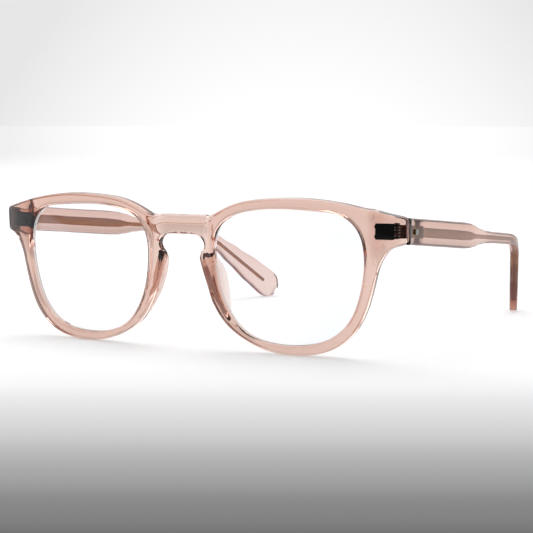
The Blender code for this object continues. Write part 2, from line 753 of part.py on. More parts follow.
def clear_scene():
    for item in list(bpy.data.objects):
        bpy.data.objects.remove(item)


def hang_on_pin(pieces, side, name):
    """Parents the moving pieces to an empty that stands on the hinge pin's axis."""
    pivot = bpy.data.objects.new(name, None)
    pivot.location = hinge_point(side, PIN_X, PIN_Y) * MM
    bpy.context.scene.collection.objects.link(pivot)
    for piece in pieces:
        piece.data.transform(Matrix.Translation(-pivot.location))
        piece.parent = pivot


def main():
    clear_scene()
    acetate = material("acetate", ACETATE)
    lens = material("lens", LENS)
    dark = material("dark_metal", DARK_METAL)
    brass = material("brass", BRASS)
    steel = material("steel", STEEL)
    front = make_front(acetate)
    for side, word in ((1, "left"), (-1, "right")):
        cut_hinge_pocket(front, side)
        make_lens(f"lens_{word}", side, lens)
        make_nose_pad(f"nose_pad_{word}", side, acetate)
        make_front_hinge(f"hinge_front_{word}", side, dark)
        make_stud(f"hinge_stud_upper_{word}", side, 1, dark)
        make_stud(f"hinge_stud_lower_{word}", side, -1, dark)
        make_screw(f"hinge_screw_{word}", side, steel)
        moving = [make_temple(f"temple_{word}", side, acetate),
                  make_temple_hinge(f"hinge_temple_{word}", side, brass),
                  make_core_wire(f"core_wire_{word}", side, brass),
                  make_inlay(f"temple_inlay_{word}", side, steel)]
        hang_on_pin(moving, side, f"pivot_{word}")


main()
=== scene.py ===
"""Looks for the clear acetate spectacles: polished acetate, coated lenses, hinges and core wires.

Lengths below are millimetres, unless a comment says metres, and MM turns them into metres.
X runs across the face, Y from the front to the temple tips, Z is up.  The front is drawn flat,
as heights v over widths u at the depth w, and then bent around the face, as in the CAD.
"""
import math

import bmesh
import bpy
import numpy as np
from mathutils import Matrix, Vector
from mathutils.geometry import delaunay_2d_cdt


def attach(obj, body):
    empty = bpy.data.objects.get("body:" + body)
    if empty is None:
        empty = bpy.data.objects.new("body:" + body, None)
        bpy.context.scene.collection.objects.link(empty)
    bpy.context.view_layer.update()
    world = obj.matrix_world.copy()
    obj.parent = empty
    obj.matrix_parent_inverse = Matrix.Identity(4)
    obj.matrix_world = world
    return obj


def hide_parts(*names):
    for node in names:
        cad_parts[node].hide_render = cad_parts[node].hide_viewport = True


MM = 0.001
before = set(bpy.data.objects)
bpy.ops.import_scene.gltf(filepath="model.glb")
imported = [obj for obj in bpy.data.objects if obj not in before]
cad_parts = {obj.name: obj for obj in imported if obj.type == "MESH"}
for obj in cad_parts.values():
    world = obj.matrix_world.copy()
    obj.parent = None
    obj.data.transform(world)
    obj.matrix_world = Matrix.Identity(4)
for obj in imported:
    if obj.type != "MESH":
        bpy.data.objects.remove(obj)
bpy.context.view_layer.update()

# frame front, as in the CAD
FRONT_SETBACK = 72.952
FRONT_LIFT = -0.142
WRAP_RADIUS = 385.0
TILT = math.radians(3.3)
RIM_DEPTH = 3.8
BRIDGE_HALF = 8.2
BRIDGE_FLANK = 10.8
BRIDGE_RECESS = 0.9
BRIDGE_BREAK = 37.4
BRIDGE_SLOPE = 0.55
END_U = 70.5
SWEEP_START = 56.0
SWEEP = 2.3
JOINT_Y = 9.5
POCKET_Y = 8.3

# the front's back and edges, which are drawn softer and finer than in the CAD
BRIDGE_BACK = 1.7           # the bridge stands out this far behind
BRIDGE_BACK_RISE = (33.5, 40.5)     # heights over which it comes to that
POCKET_WIDTHS = (59.0, 61.0)        # where the back drops to the hinge's pocket
POCKET_HEIGHTS = (23.0, 33.8)
BLOCK_WIDTHS = (63.6, 68.6)         # where it drops on to the joint's face
JOINT_GAP = 0.1             # between an end piece and its temple
OUTLINE_STEP = 0.7
FILL_STEP = 1.5
BRIDGE_STEP = 0.5
FINE_WIDTH = 13             # the bridge's finer grid: half its width and its lowest height
FINE_BOTTOM = 30
FRONT_TOP = 47              # above the whole outline
FRONT_ROUNDING = 0.85
BACK_ROUNDING = 0.7
END_FLARE = 0.4             # the end walls widen backwards, to meet the temples
FLARE_WIDTHS = (67.5, 70.0)
FLARE_DEPTHS = (2.5, 6.0)

# lenses
LENS_SEAT = 2.2
GROOVE_HALF = 0.7
GROOVE_DEPTH = 0.65
LENS_GAP = 0.08
LENS_THICKNESS = 1.8
LENS_BULGE = 1.1

# hinges
PIN_X = 65.1
PIN_Y = 10.0
HINGE_Z = 36.6
KNUCKLE_RADIUS = 1.0
KNUCKLE_HEIGHT = 0.68
KNUCKLE_GAP = 0.15
PLATE_INNER_X = 59.8
PLATE_OUTER_X = 65.2
PLATE_HEIGHT = 4.6
PLATE_THICKNESS = 1.0
STUD_RADIUS = 0.6
STUD_LENGTH = 1.1
SHANK_RADIUS = 0.44
HEAD_RADIUS = 0.8
HEAD_HEIGHT = 0.45
SLOT_HALF = 0.1

# temples
TEMPLE_START = (68.3, JOINT_Y + JOINT_GAP / 2, 36.6)
TEMPLE_BEND = (62.5, 111.8, 28.0)
TEMPLE_TIP = (49.2, 147.0, 2.073)
TEMPLE_THICKNESS = 3.6
BEND_LENGTH = 16.0
SLOT_LENGTH = 10.4
LEAF_HEIGHT = 3.4
LEAF_THICKNESS = 1.0
WIRE_START = 10.3
WIRE_END = 141.0
INLAY_AT = 3.9
MITRE = 1.7                 # the inner face is cut back so far at the joint
MITRE_LENGTH = 2.4
OUTER_TAPER = 0.55          # the outer face starts so far in, flush with the end piece

OUTER_HALF = [
    (0, 39.9), (7.4, 39.95), (9.9, 39.9), (11.6, 40.6), (14.4, 42.0), (19.6, 44.0),
    (26.0, 45.1), (35.0, 45.6), (43.4, 45.4), (53.8, 44.0), (62.0, 42.1), (67.4, 40.8),
    (69.7, 40.2), (70.4, 39.6), (70.5, 38.6), (70.5, 34.6), (70.4, 33.3), (69.8, 32.7),
    (68.6, 32.3), (66.4, 31.5), (64.4, 29.6), (62.8, 26.8), (61.7, 23.2), (60.4, 18.4),
    (58.5, 13.0), (55.5, 7.8), (50.8, 3.5), (44.5, 0.9), (37.0, 0.0), (29.5, 0.7),
    (22.7, 3.0), (16.9, 6.5), (12.9, 10.7), (9.6, 16.7), (7.7, 21.8), (6.5, 25.8),
    (6.3, 28.3), (7.8, 30.9), (6.5, 33.5), (3.9, 34.3), (0, 34.35)]

LENS_OPENING = [
    (35.5, 42.4), (44.5, 41.9), (52.0, 40.6), (56.8, 36.1), (58.3, 29.8), (58.1, 24.5),
    (57.0, 18.8), (54.0, 11.3), (47.6, 5.4), (37.5, 2.9), (27.4, 3.7), (19.7, 7.25),
    (14.6, 14.2), (12.4, 20.6), (11.5, 27.5), (12.1, 34.0), (15.5, 38.8), (24.0, 41.8)]

PAD_RIDGE = [
    (8.4, 29.2, 3.0), (8.9, 28.4, 5.2), (9.4, 27.2, 6.9), (10.2, 25.2, 8.3), (11.2, 22.3, 9.1),
    (12.1, 18.4, 8.7), (13.0, 14.9, 7.7), (13.8, 12.4, 6.6), (14.9, 9.6, 4.9), (15.4, 8.4, 3.2)]

PAD_ROOT = 2.0              # the depth in the rim that a pad grows from

TEMPLE_HEIGHTS = [
    (0, 7.6), (30, 7.9), (46, 8.1), (52, 7.8), (56, 6.9), (62, 5.2), (68, 4.1), (77, 3.7),
    (98, 3.6), (106, 3.8), (114, 4.9), (123, 7.0), (134, 9.3), (142, 10.2), (149, 9.8)]
TEMPLE_DEPTHS = [(0, 3.6), (52, 3.6), (72, 3.0), (104, 3.0), (128, 2.9), (149, 2.7)]
WIRE_HEIGHTS = [(11, 2.7), (46, 2.8), (52, 2.5), (58, 1.3), (104, 1.2), (141, 1.2)]
WIRE_DEPTHS = [(11, 1.1), (52, 1.1), (60, 1.2), (141, 1.2)]

# camera
CAMERA_AT = (255.657, -408.883 - FRONT_SETBACK, 66.398)
CAMERA_YAW = math.radians(29.0365)
CAMERA_PITCH = math.radians(4.9705)
CAMERA_ROLL = math.radians(0.071)
CAMERA_LENS = 110.03

# acetate: the light that it lets through, and how strongly it takes the rest, per metre
ACETATE_COLOUR = (0.655, 0.27, 0.11)
ACETATE_DENSITY = 240
ACETATE_IOR = 1.485

# lenses: clear tint and the coating's bluish tint, which is partly a painted reflection of the
# coating, and the places over which that painted reflection comes in
LENS_CLEAR = (0.985, 0.985, 0.995)
LENS_COATING_AND_REFLECTION = (0.90, 0.93, 0.985)
LENS_IOR = 1.5
REFLECTION_TINT_ACROSS = (26, 50)
REFLECTION_TINT_UP = (16, 30)

# metals: dark tone, light tone, tint at a grazing angle, roughness and the grain's scale
METALS = {
    "dark_metal": ((0.012, 0.007, 0.006), (0.04, 0.02, 0.016), (0.25, 0.14, 0.1), 0.4, 900),
    "brass": ((0.40, 0.17, 0.05), (0.60, 0.29, 0.10), (0.8, 0.5, 0.28), 0.32, 700),
    "steel": ((0.10, 0.11, 0.10), (0.52, 0.56, 0.52), (0.8, 0.8, 0.8), 0.28, 900)}
JOINT_DARKENING = 0.16              # how dark a metal is made from just behind the hinge's pin forwards, as a share of its dark tone
JOINT_DARKENING_EDGE = (-61.5, -60.5)       # the Y over which that darkening fades out

# floor: painted shade, the floor's brightness by the distance in front of the camera's place, grey
# near it and white around the object; fixed in the room
FLOOR_PAINTED_SHADE = [(-400, 0.6), (0, 0.26), (240, 0.09), (267, 0.14), (293, 0.21), (338, 0.38),
               (399, 0.57), (440, 0.66), (520, 0.69)]
FLOOR_GLOW = (0.6, 1.0)
GLOW_FROM = 0.8                     # its painted glow: the floor gives off light of its own, though it is no lamp; it changes over these distances, in metres
GLOW_TO = 2.6
FLOOR_SIZE = 60000
FLOOR_CORNERS = (1.0, 4.0)          # the distances over which its corners darken with painted shade, in metres
CORNER_LEAST = -0.2

# dome: brightness on the camera's side and overhead, and the backdrop's fall and vignette
DOME_NEAR = 0.5
DOME_TOP = 0.6
DOME_EDGE = (0.45, 0.9)
ZENITH_EDGE = (0.35, 0.9)
BACKDROP_EDGE = (0.93, 0.97)
BACKDROP_HEIGHTS = (0.0, 0.077)
BACKDROP_FALL = (1.03, 0.92)
BACKDROP_LEAST = 0.8
VIGNETTE = 6.4
VIGNETTE_AT = 0.0193

# softboxes: name, place, target and size in metres, and power in watts
LIGHTS = [
    ("left_window", (-1.1, 0.3, 0.35), (0, 0, 0.02), (0.6, 0.8), 2.5),
    ("overhead", (-0.1, 0.25, 0.9), (0, 0, 0), (0.8, 0.8), 4.1)]


# ---------------------------------------------------------------- curves and the wrap

def smooth_loop(points, step):
    """A smooth closed curve through the points, with chords of about one step."""
    knots = np.array(points, float)
    count = len(knots)
    ahead = np.roll(knots, -1, 0)
    span = np.sqrt(np.linalg.norm(ahead - knots, axis=1))
    matrix = np.zeros((count, count))
    right = np.zeros((count, knots.shape[1]))
    for i in range(count):
        before = span[i - 1]
        after = span[i]
        matrix[i, i - 1] = after
        matrix[i, i] = 2 * (before + after)
        matrix[i, (i + 1) % count] = before
        right[i] = 3 * (after * (knots[i] - knots[i - 1]) / before
                        + before * (ahead[i] - knots[i]) / after)
    slope = np.linalg.solve(matrix, right)
    curve = []
    for i in range(count):
        j = (i + 1) % count
        pieces = max(1, round(np.linalg.norm(knots[j] - knots[i]) / step))
        for k in range(pieces):
            t = k / pieces
            curve.append(knots[i] * (2 * t ** 3 - 3 * t ** 2 + 1)
                         + slope[i] * span[i] * (t ** 3 - 2 * t ** 2 + t)
                         + knots[j] * (3 * t ** 2 - 2 * t ** 3)
                         + slope[j] * span[i] * (t ** 3 - t ** 2))
    return np.array(curve)


def outward_normals(loop):
    """Unit normals that point away from the inside of a clockwise loop."""
    along = np.roll(loop, -1, 0) - np.roll(loop, 1, 0)
    along /= np.linalg.norm(along, axis=1)[:, None]
    return np.stack([-along[:, 1], along[:, 0]], axis=1)


def ramp(value, low, high):
    """0 below low, 1 above high, and a smooth step between them."""
    t = min(1.0, max(0.0, (value - low) / (high - low)))
    return t * t * (3 - 2 * t)


def along_table(table, distance):
    """Reads a table of (distance, value) pairs, smoothed between its entries."""
    for (a, first), (b, second) in zip(table, table[1:]):
        if distance <= b:
            return first + (second - first) * ramp(distance, a, b)
    return table[-1][1]


def wrapped(u, v, w):
    """Bends a point of the flat front around the face, in world millimetres."""
    angle = u / WRAP_RADIUS
    x = (WRAP_RADIUS - w) * math.sin(angle)
    y = WRAP_RADIUS - (WRAP_RADIUS - w) * math.cos(angle)
    height = v + FRONT_LIFT
    return Vector((x,
                   y * math.cos(TILT) - height * math.sin(TILT) - FRONT_SETBACK,
                   y * math.sin(TILT) + height * math.cos(TILT)))


def depth_at(u, v, plane_y):
    """The w at which a point of the wrapped front reaches the plane Y = plane_y."""
    height = v + FRONT_LIFT
    reach = (plane_y + height * math.sin(TILT)) / math.cos(TILT)
    return WRAP_RADIUS - (WRAP_RADIUS - reach) / math.cos(u / WRAP_RADIUS)


def front_surface(u, v):
    """Depth of the front's outer surface: the recessed bridge and the swept ends."""
    side = abs(u)
    middle = 1 - ramp(side, BRIDGE_HALF, BRIDGE_FLANK)
    recess = middle * (BRIDGE_RECESS + BRIDGE_SLOPE * max(0.0, v - BRIDGE_BREAK))
    sweep = SWEEP * (max(0.0, side - SWEEP_START) / (END_U - SWEEP_START)) ** 2
    return recess + sweep


def sweep_only(u, v):
    """How far the swept end moves the lens groove back."""
    return front_surface(u, v) if abs(u) > SWEEP_START else 0.0


def back_surface(u, v):
    """Depth of the front's back: flat rims, and end pieces that reach the joints."""
    side = abs(u)
    middle = 1 - ramp(side, BRIDGE_HALF - 2, BRIDGE_FLANK)
    depth = RIM_DEPTH + middle * BRIDGE_BACK * ramp(v, *BRIDGE_BACK_RISE)
    end = ramp(side, *POCKET_WIDTHS) * ramp(v, *POCKET_HEIGHTS)
    depth += (depth_at(side, v, POCKET_Y) - depth) * end
    block = ramp(side, *BLOCK_WIDTHS)
    depth += (depth_at(side, v, JOINT_Y - JOINT_GAP / 2) - depth) * block
    return depth


# ---------------------------------------------------------------- mesh helpers

def new_piece(name, vertices, faces, finish, sharp=40):
    """A mesh piece from millimetre points, facing outwards and smooth below an angle."""
    mesh = bpy.data.meshes.new(name)
    mesh.from_pydata([tuple(Vector(point) * MM) for point in vertices], [], faces)
    build = bmesh.new()
    build.from_mesh(mesh)
    bmesh.ops.recalc_face_normals(build, faces=build.faces)
    build.to_mesh(mesh)
    build.free()
    item = bpy.data.objects.new(name, mesh)
    bpy.context.scene.collection.objects.link(item)
    mesh.materials.append(finish)
    mesh.shade_smooth()
    mesh.set_sharp_from_angle(angle=math.radians(sharp))
    return item


def ring_faces(first, second, count):
    """Quads between two rings of vertices, given by their first indices."""
    return [(first + i, first + (i + 1) % count, second + (i + 1) % count, second + i)
            for i in range(count)]


def loft(name, sections, finish, sharp=40):
    """A closed solid through rings of equal length, with flat ends."""
    count = len(sections[0])
    vertices = [point for section in sections for point in section]
    faces = [tuple(range(count)), tuple(range(len(vertices) - count, len(vertices)))]
    for level in range(len(sections) - 1):
        faces += ring_faces(level * count, (level + 1) * count, count)
    return new_piece(name, vertices, faces, finish, sharp)


def joined(name, pieces):
    """Joins pieces into one object, keeping the first one's material."""
    build = bmesh.new()
    for piece in pieces:
        build.from_mesh(piece.data)
    mesh = pieces[0].data.copy()
    build.to_mesh(mesh)
    build.free()
    item = bpy.data.objects.new(name, mesh)
    bpy.context.scene.collection.objects.link(item)
    for piece in pieces:
        bpy.data.objects.remove(piece)
    return item


def merge(base, tools, operation):
    """Unites the tools with the base, or cuts them out of it, and removes them."""
    for tool in tools:
        change = base.modifiers.new("merge", "BOOLEAN")
        change.operation = operation
        change.solver = "EXACT"
        change.object = tool
    graph = bpy.context.evaluated_depsgraph_get()
    result = bpy.data.meshes.new_from_object(base.evaluated_get(graph))
    base.modifiers.clear()
    base.data = result
    for tool in tools:
        bpy.data.objects.remove(tool)


def fused(base, tools):
    """The base and the tools as one smooth piece."""
    merge(base, tools, "UNION")
    base.data.shade_smooth()
    base.data.set_sharp_from_angle(angle=math.radians(40))
    return base


def rounded_box(name, low, high, radius, finish, steps=3):
    """A block with rounded edges, between two corners in millimetres."""
    build = bmesh.new()
    bmesh.ops.create_cube(build, size=1.0)
    size = [h - l for l, h in zip(low, high)]
    middle = [(h + l) / 2 for l, h in zip(low, high)]
    for vertex in build.verts:
        vertex.co = Vector([m + c * s for m, c, s in zip(middle, vertex.co, size)]) * MM
    bmesh.ops.bevel(build, geom=build.edges[:], offset=radius * MM, segments=steps,
                    profile=0.5, affect="EDGES", clamp_overlap=True)
    mesh = bpy.data.meshes.new(name)
    build.to_mesh(mesh)
    build.free()
    mesh.materials.append(finish)
    mesh.shade_smooth()
    mesh.set_sharp_from_angle(angle=math.radians(50))
    item = bpy.data.objects.new(name, mesh)
    bpy.context.scene.collection.objects.link(item)
    return item


def turned(name, centre, axis, profile, finish, sides=48):
    """A turned piece: (distance along the axis, radius) pairs spun around it."""
    direction = Vector(axis).normalized()
    turn = direction.to_track_quat("Z", "Y")
    sections = []
    for level, radius in profile:
        ring = []
        for i in range(sides):
            angle = 2 * math.pi * i / sides
            rim = Vector((radius * math.cos(angle), radius * math.sin(angle), level))
            ring.append(Vector(centre) + turn @ rim)
        sections.append(ring)
    return loft(name, sections, finish, 35)


def barrel_profile(length, radius, chamfer):
    """A cylinder with rounded rims."""
    return [(0, radius - chamfer), (0.3 * chamfer, radius - 0.3 * chamfer), (chamfer, radius),
            (length - chamfer, radius), (length - 0.3 * chamfer, radius - 0.3 * chamfer),
            (length, radius - chamfer)]


# ---------------------------------------------------------------- materials

def principled(name):
    """A new material and its Principled shader, node tree and object coordinates."""
    finish = bpy.data.materials.new(name)
    finish.use_nodes = True
    tree = finish.node_tree
    shader = tree.nodes["Principled BSDF"]
    where = tree.nodes.new("ShaderNodeTexCoord")
    return finish, tree, shader, where.outputs["Object"]


def dotted(tree, source, direction):
    """The component of a vector along a fixed direction."""
    node = tree.nodes.new("ShaderNodeVectorMath")
    node.operation = "DOT_PRODUCT"
    node.inputs[1].default_value = direction
    tree.links.new(source, node.inputs[0])
    return node.outputs["Value"]


def ranged(tree, value, limits, results, smooth=False):
    """Maps a value from its limits to the results."""
    node = tree.nodes.new("ShaderNodeMapRange")
    if smooth:
        node.interpolation_type = "SMOOTHSTEP"
    node.inputs["From Min"].default_value, node.inputs["From Max"].default_value = limits
    node.inputs["To Min"].default_value, node.inputs["To Max"].default_value = results
    tree.links.new(value, node.inputs["Value"])
    return node.outputs["Result"]


def metres(limits):
    """A pair of millimetre places as metres."""
    low, high = limits
    return low * MM, high * MM


def combined(tree, operation, first, second):
    """One arithmetic step between a value and a value or number."""
    node = tree.nodes.new("ShaderNodeMath")
    node.operation = operation
    for socket, value in zip(node.inputs, (first, second)):
        if isinstance(value, (int, float)):
            socket.default_value = value
        else:
            tree.links.new(value, socket)
    return node.outputs["Value"]


def noise_values(tree, place, scale, low, high, detail=3.0):
    """Noise over the object, mapped to the range from low to high."""
    noise = tree.nodes.new("ShaderNodeTexNoise")
    noise.inputs["Scale"].default_value = scale
    noise.inputs["Detail"].default_value = detail
    tree.links.new(place, noise.inputs["Vector"])
    return ranged(tree, noise.outputs["Fac"], (0, 1), (low, high))


def bumped(tree, shader, height, distance, strength):
    """Feeds a height into the shader's normal."""
    bump = tree.nodes.new("ShaderNodeBump")
    bump.inputs["Distance"].default_value = distance
    bump.inputs["Strength"].default_value = strength
    tree.links.new(height, bump.inputs["Height"])
    tree.links.new(bump.outputs["Normal"], shader.inputs["Normal"])


def acetate_material(name, colour, density):
    """Polished clear acetate: it takes more colour the further light travels in it."""
    finish, tree, shader, place = principled(name)
    shader.inputs["Base Color"].default_value = (1, 1, 1, 1)
    shader.inputs["Transmission Weight"].default_value = 1.0
    shader.inputs["IOR"].default_value = ACETATE_IOR
    shader.inputs["Specular IOR Level"].default_value = 0.15
    tree.links.new(noise_values(tree, place, 160, 0.012, 0.03), shader.inputs["Roughness"])
    bumped(tree, shader, noise_values(tree, place, 90, 0, 1, 1.0), 0.00001, 0.5)
    absorb = tree.nodes.new("ShaderNodeVolumeAbsorption")
    absorb.inputs["Color"].default_value = (*colour, 1)
    absorb.inputs["Density"].default_value = density
    tree.links.new(absorb.outputs["Volume"], tree.nodes["Material Output"].inputs["Volume"])
    return finish


def lens_material(name):
    """A clear lens with a faint blue-violet coating, whose tint is painted stronger towards the left
    lens's outer side and the top, as a painted reflection.
    """
    finish, tree, shader, place = principled(name)
    # painted reflection: the coating's bluish tint grows towards the left lens's outer side and
    # towards the top
    tint = tree.nodes.new("ShaderNodeMix")
    tint.data_type = "RGBA"
    tint.inputs["A"].default_value = (*LENS_CLEAR, 1)
    tint.inputs["B"].default_value = (*LENS_COATING_AND_REFLECTION, 1)
    outward = ranged(tree, dotted(tree, place, (1, 0, 0)), metres(REFLECTION_TINT_ACROSS), (0, 1), True)
    band = ranged(tree, dotted(tree, place, (0.2, 0, 1)), metres(REFLECTION_TINT_UP), (0, 0.35), True)
    painted_reflection_mask = combined(tree, "MAXIMUM", outward, band)
    uneven = noise_values(tree, place, 30, 0.75, 1.1, 1.0)
    tree.links.new(combined(tree, "MULTIPLY", painted_reflection_mask, uneven), tint.inputs["Factor"])
    tree.links.new(tint.outputs["Result"], shader.inputs["Base Color"])
    shader.inputs["Transmission Weight"].default_value = 1.0
    shader.inputs["IOR"].default_value = LENS_IOR
    shader.inputs["Specular IOR Level"].default_value = 0.3
    shader.inputs["Specular Tint"].default_value = (0.62, 0.70, 1.0, 1)
    tree.links.new(noise_values(tree, place, 40, 0.0, 0.004), shader.inputs["Roughness"])
    return finish


def metal_material(name, dark, light, rim, roughness, scale):
    """Metal with fine brushing and a mottled tone, darker from just behind the hinge's pin forwards.
    """
    finish, tree, shader, place = principled(name)
    shader.inputs["Metallic"].default_value = 1.0
    shader.inputs["Specular Tint"].default_value = (*rim, 1)
    stretch = tree.nodes.new("ShaderNodeMapping")
    stretch.inputs["Scale"].default_value = (1.0, 0.08, 1.0)
    tree.links.new(place, stretch.inputs["Vector"])
    tone = tree.nodes.new("ShaderNodeMix")
    tone.data_type = "RGBA"
    tone.inputs["A"].default_value = (*dark, 1)
    tone.inputs["B"].default_value = (*light, 1)
    grain = noise_values(tree, stretch.outputs["Vector"], scale, 0, 1)
    tree.links.new(grain, tone.inputs["Factor"])
    # the metal is made darker from just behind the hinge's pin forwards, by its place alone
    darkened = tree.nodes.new("ShaderNodeMix")
    darkened.data_type = "RGBA"
    darkened.inputs["B"].default_value = (*[channel * JOINT_DARKENING for channel in dark], 1)
    near_joint = ranged(tree, dotted(tree, place, (0, 1, 0)), metres(JOINT_DARKENING_EDGE), (1, 0), True)
    tree.links.new(near_joint, darkened.inputs["Factor"])
    tree.links.new(tone.outputs["Result"], darkened.inputs["A"])
    tree.links.new(darkened.outputs["Result"], shader.inputs["Base Color"])
    tree.links.new(noise_values(tree, place, scale, roughness * 0.8, roughness * 1.25),
                   shader.inputs["Roughness"])
    bumped(tree, shader, grain, 0.00002, 0.6)
    return finish


# ---------------------------------------------------------------- the frame front

def inside(point, loop):
    """True where a flat point lies within a closed loop."""
    x, y = point
    ahead = np.roll(loop, -1, 0)
    crosses = (loop[:, 1] > y) != (ahead[:, 1] > y)
    rise = np.where(crosses, ahead[:, 1] - loop[:, 1], 1.0)
    meets = loop[:, 0] + (y - loop[:, 1]) / rise * (ahead[:, 0] - loop[:, 0])
    return bool(np.count_nonzero(crosses & (meets > x)) % 2)


def fill_points(loops):
    """Points on grids inside the sheet: a fine one around the bridge, a coarser one elsewhere."""
    points = []
    for step, width, bottom in ((BRIDGE_STEP, FINE_WIDTH, FINE_BOTTOM), (FILL_STEP, END_U, 0)):
        for u in np.arange(0, width, step):
            for v in np.arange(bottom + step / 2, FRONT_TOP, step):
                if step == FILL_STEP and u < FINE_WIDTH and v > FINE_BOTTOM:
                    continue
                near = min(np.min(np.hypot(*(loop - (u, v)).T)) for loop in loops)
                if near < 0.5 * step or not inside((u, v), loops[0]):
                    continue
                if any(inside((u, v), loop) for loop in loops[1:]):
                    continue
                points.append((u, v))
                if u > 0:
                    points.append((-u, v))
    return points


def sheet_faces(loops, extra):
    """Triangles of the sheet between its outer loop and its two openings."""
    points = [Vector(p) for loop in loops for p in loop] + [Vector(p) for p in extra]
    edges = []
    start = 0
    for loop in loops:
        edges += [(start + i, start + (i + 1) % len(loop)) for i in range(len(loop))]
        start += len(loop)
    _, _, faces, _, _, _ = delaunay_2d_cdt(points, edges, [], 0, 1e-6)
    kept = []
    for face in faces:
        middle = sum((points[i] for i in face), Vector((0, 0))) / 3
        if inside(middle, loops[0]) and not any(inside(middle, loop) for loop in loops[1:]):
            kept.append(tuple(face))
    return kept


def edge_profile(radius):
    """The rounded edge as (distance from the wall, depth below the face) pairs."""
    steps = (0, 3, 10, 20, 30, 40, 50, 60, 70, 80, 87, 90)
    return [(-radius * (1 - math.sin(math.radians(a))),
             radius * (1 - math.cos(math.radians(a)))) for a in steps]


def make_front(finish):
    """The sheet of acetate with two grooved openings, a bridge and two end pieces."""
    outer = smooth_loop(OUTER_HALF + [(-u, v) for u, v in OUTER_HALF[-2:0:-1]], OUTLINE_STEP)
    opening = smooth_loop(LENS_OPENING, OUTLINE_STEP)
    mirror = (opening * (-1, 1))[::-1]
    loops = [outer, opening, mirror]
    normals = [outward_normals(outer), -outward_normals(opening), -outward_normals(mirror)]
    profiles = {"front": edge_profile(FRONT_ROUNDING), "back": edge_profile(BACK_ROUNDING)}
    groove = [(0, LENS_SEAT - GROOVE_HALF), (GROOVE_DEPTH, LENS_SEAT),
              (0, LENS_SEAT + GROOVE_HALF)]
    vertices = []
    faces = []
    rings = []
    caps = {"front": [], "back": []}

    def add_ring(loop, out, offset, depth_of):
        rings.append((len(vertices), len(loop)))
        for (u, v), n in zip(loop, out):
            depth = depth_of(u, v)
            flare = END_FLARE * ramp(abs(u), *FLARE_WIDTHS) * ramp(depth, *FLARE_DEPTHS)
            vertices.append(wrapped(u + n[0] * offset + math.copysign(flare, u),
                                    v + n[1] * offset, depth))

    for number, (loop, out) in enumerate(zip(loops, normals)):
        first = len(rings)
        for offset, drop in profiles["front"]:
            add_ring(loop, out, offset, lambda u, v, d=drop: front_surface(u, v) + d)
        if number > 0:
            for offset, depth in groove:
                add_ring(loop, out, -offset, lambda u, v, d=depth: d + sweep_only(u, v))
        for offset, drop in reversed(profiles["back"]):
            add_ring(loop, out, offset, lambda u, v, d=drop: back_surface(u, v) - d)
        caps["front"].append(rings[first][0])
        caps["back"].append(rings[-1][0])
        for (a, count), (b, _) in zip(rings[first:-1], rings[first + 1:]):
            faces += ring_faces(a, b, count)
    for side, surface in (("front", front_surface), ("back", back_surface)):
        shift = profiles[side][0][0]
        inset = [loop + out * shift for loop, out in zip(loops, normals)]
        extra = fill_points(inset)
        index = []
        for start, loop in zip(caps[side], inset):
            index += range(start, start + len(loop))
        for u, v in extra:
            index.append(len(vertices))
            vertices.append(wrapped(u, v, surface(u, v)))
        faces += [tuple(index[i] for i in face) for face in sheet_faces(inset, extra)]
    return new_piece("acetate_front", vertices, faces, finish)


def nasal_edge(v):
    """Where the front's edge beside the nose lies, at one height."""
    points = [p for p in OUTER_HALF if 6 < p[0] < 24 and p[1] < 29]
    points.sort(key=lambda p: p[1])
    return float(np.interp(v, [p[1] for p in points], [p[0] for p in points]))


def pad_outline(inner, tip_u, tip_w):
    """A slice of a nose pad: a fin from its root in the rim to its blunt ridge."""
    rise = tip_w - PAD_ROOT
    share = min(1.0, rise / 3.0)
    lean = tip_u - inner
    return [(inner, PAD_ROOT), (inner + 0.07 * lean, PAD_ROOT + 0.4 * rise),
            (inner + 0.4 * lean - 0.3 * share, PAD_ROOT + 0.7 * rise),
            (tip_u - 0.75 * share, tip_w - 0.55 * share), (tip_u - 0.1 * share, tip_w),
            (tip_u + 0.75 * share, tip_w - 0.7 * share),
            (inner + 0.7 * lean + 1.15 * share, PAD_ROOT + 0.65 * rise),
            (max(inner + 2.2, tip_u), PAD_ROOT + 0.3 * rise), (inner + 2.0, PAD_ROOT)]


def make_nose_pad(name, side, finish):
    """A built-up pad: a rounded fin that grows out of the rim and flares outwards."""
    ridge = np.array(PAD_RIDGE[::-1])
    sections = []
    for v in np.linspace(ridge[-1, 1], ridge[0, 1], 31):
        tip_u = float(np.interp(v, ridge[:, 1], ridge[:, 0]))
        tip_w = float(np.interp(v, ridge[:, 1], ridge[:, 2]))
        outline = resampled(np.array(pad_outline(nasal_edge(v) + 0.12, tip_u, tip_w)), 40)
        sections.append([wrapped(side * u, v, w) for u, w in outline])
    return loft(name, sections, finish)


def resampled(points, count):
    """A closed smooth curve through the points, resampled to evenly spaced points."""
    fine = smooth_loop(points, 0.1)
    closed = np.vstack([fine, fine[:1]])
    run = np.concatenate([[0], np.cumsum(np.linalg.norm(np.diff(closed, axis=0), axis=1))])
    at = np.linspace(0, run[-1], count, endpoint=False)
    return np.stack([np.interp(at, run, closed[:, k]) for k in range(2)], axis=1)


# ---------------------------------------------------------------- lenses

